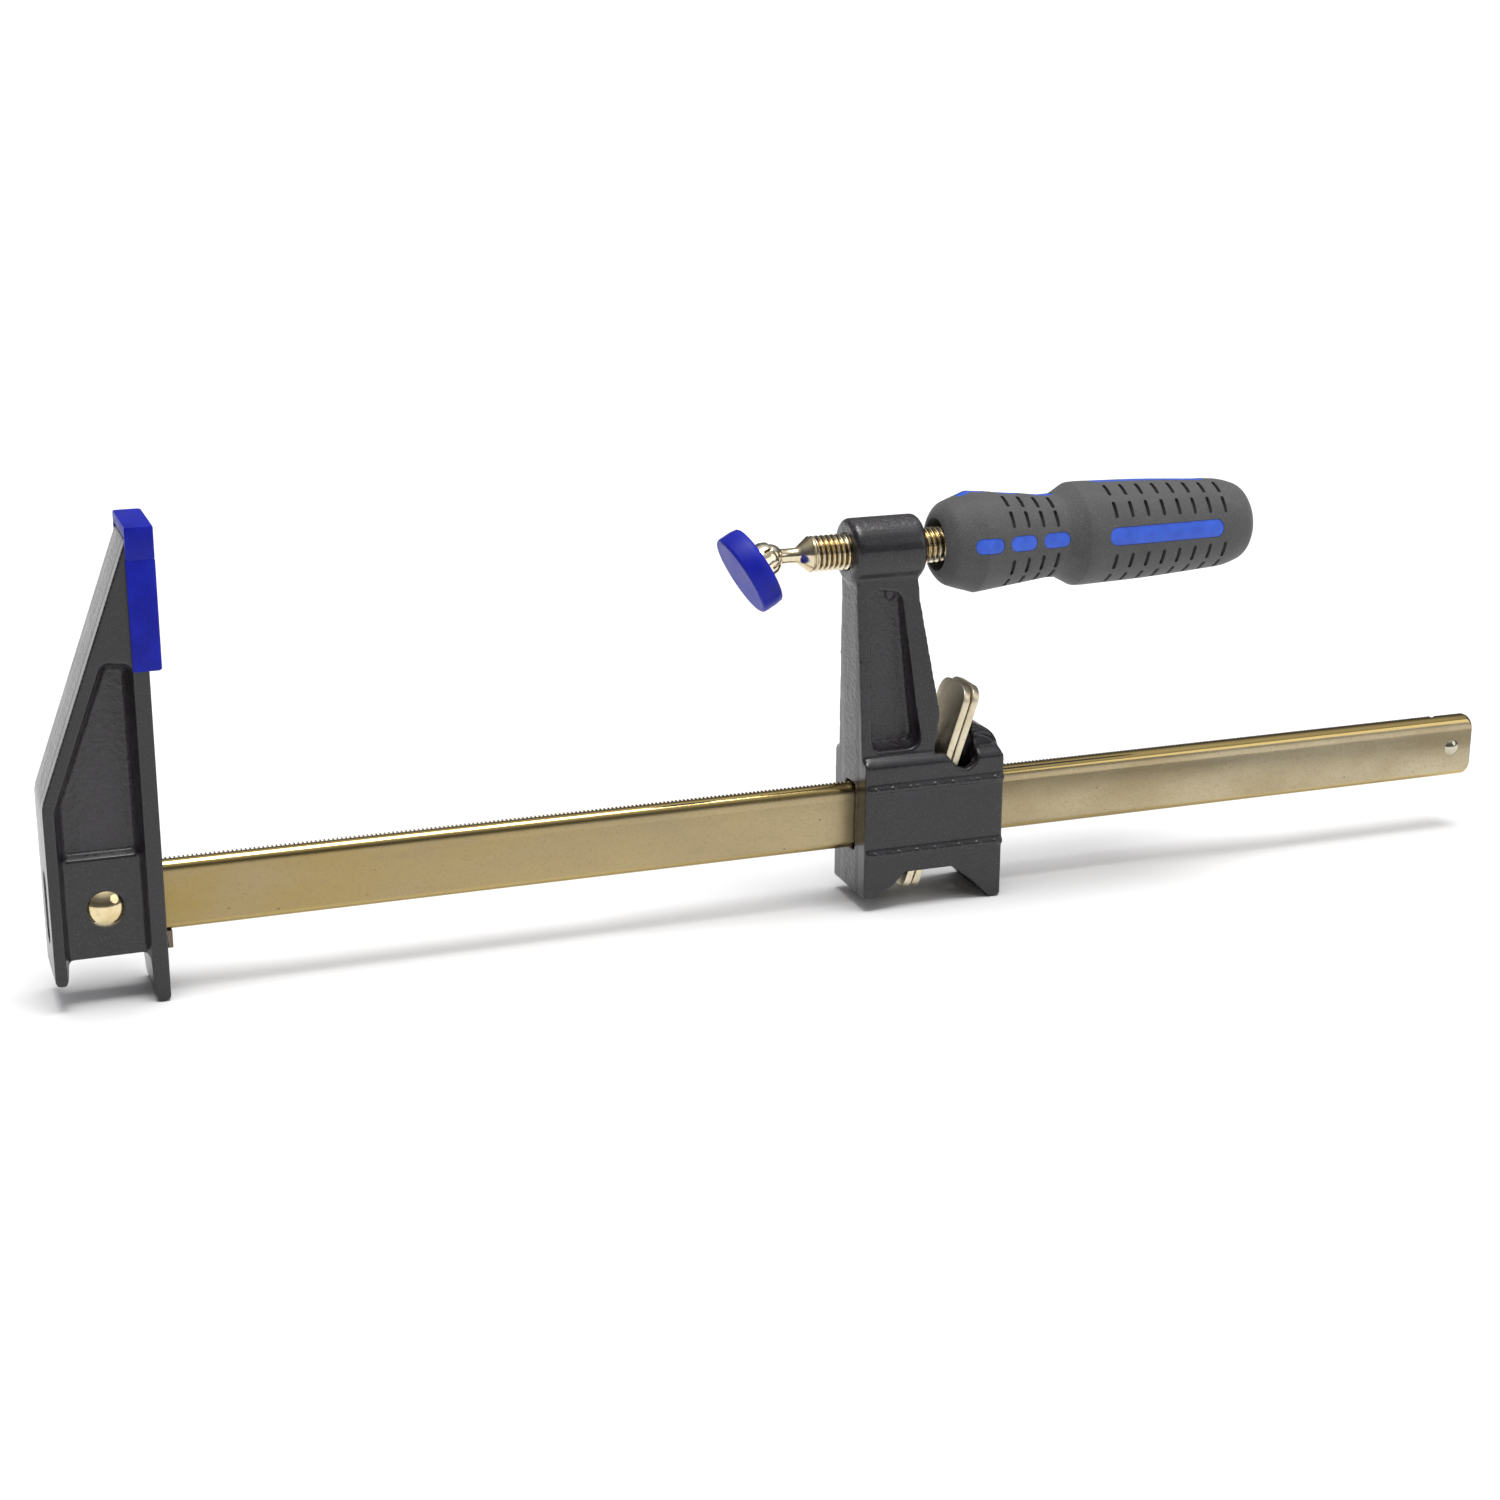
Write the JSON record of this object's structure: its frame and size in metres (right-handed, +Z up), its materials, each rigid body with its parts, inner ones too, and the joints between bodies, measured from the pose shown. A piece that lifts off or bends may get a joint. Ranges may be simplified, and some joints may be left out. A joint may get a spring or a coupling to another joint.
{
  "type": "f clamp",
  "caption": "Bar clamp with a fixed jaw, a sliding arm held by tilting clutch plates, a screw with a swivel pad and a soft-grip handle",
  "frame": {"origin": "on the face of the fixed jaw's pad, at the point that the screw's axis meets", "axes": "+X along the bar from the fixed jaw to the bar's free end, +Y across the bar, +Z up from the bar towards the jaws' tips"},
  "size_m": [0.4268, 0.0294, 0.1251],
  "materials": {
    "plated_bar": "satin champagne zinc plating",
    "black_casting": "satin black powder coat on a casting",
    "bright_steel": "bright plated steel",
    "spring_wire": "drawn wire",
    "blue_pad": "soft moulded vinyl, semi-matte",
    "blue_core": "moulded, semi-matte",
    "grey_grip": "matte moulded rubber"
  },
  "bodies": {
    "frame": {"bar": "plated_bar", "fixed_jaw": "black_casting", "bar_wedge": "bright_steel", "jaw_pad": "blue_pad", "jaw_rivet": "bright_steel", "stop_pin": "bright_steel"},
    "arm": {"sliding_arm": "black_casting", "clutch_spring": "spring_wire"},
    "clutch": {"clutch_plate_front": "bright_steel", "clutch_plate_rear": "bright_steel"},
    "screw_nose": {"screw_ball_end": "bright_steel"},
    "screw_and_handle": {"screw": "bright_steel", "handle_core": "blue_core", "handle_grip": "grey_grip"},
    "swivel_seat": {"pad_seat": "bright_steel"},
    "swivel_cap": {"pad_cap": "blue_pad"}
  },
  "joints": [
    {"name": "arm_slide", "type": "slide", "parent": "frame", "child": "arm", "axis": [1, 0, 0], "range_m": [-0.145, 0.1535]},
    {"name": "clutch_tilt", "type": "hinge", "parent": "arm", "child": "clutch", "pos_m": [0.212, 0, -0.0762], "axis": [0, 1, 0], "range_deg": [-9, 0], "stiffness_Nm_per_rad": 0.2, "springref_deg": 20.05, "deforming": ["clutch_spring"]},
    {"name": "screw_feed", "type": "slide", "parent": "arm", "child": "screw_nose", "axis": [1, 0, 0], "range_m": [-0.0055, 0.018]},
    {"name": "screw_spin", "type": "hinge", "parent": "screw_nose", "child": "screw_and_handle", "pos_m": [0.2, 0, 0], "axis": [1, 0, 0], "range_deg": [-1325, 4325]},
    {"name": "pad_tilt", "type": "hinge", "parent": "screw_nose", "child": "swivel_seat", "pos_m": [0.165, 0, 0], "axis": [0, 1, 0], "range_deg": [0, 58]},
    {"name": "pad_turn", "type": "hinge", "parent": "swivel_seat", "child": "swivel_cap", "pos_m": [0.165, 0, 0], "axis": [-0.8746, 0, -0.4848], "continuous": true}
  ],
  "couplings": [
    {"joint": "screw_spin", "follows": "screw_feed", "rad_per_m": 4188.8}
  ]
}
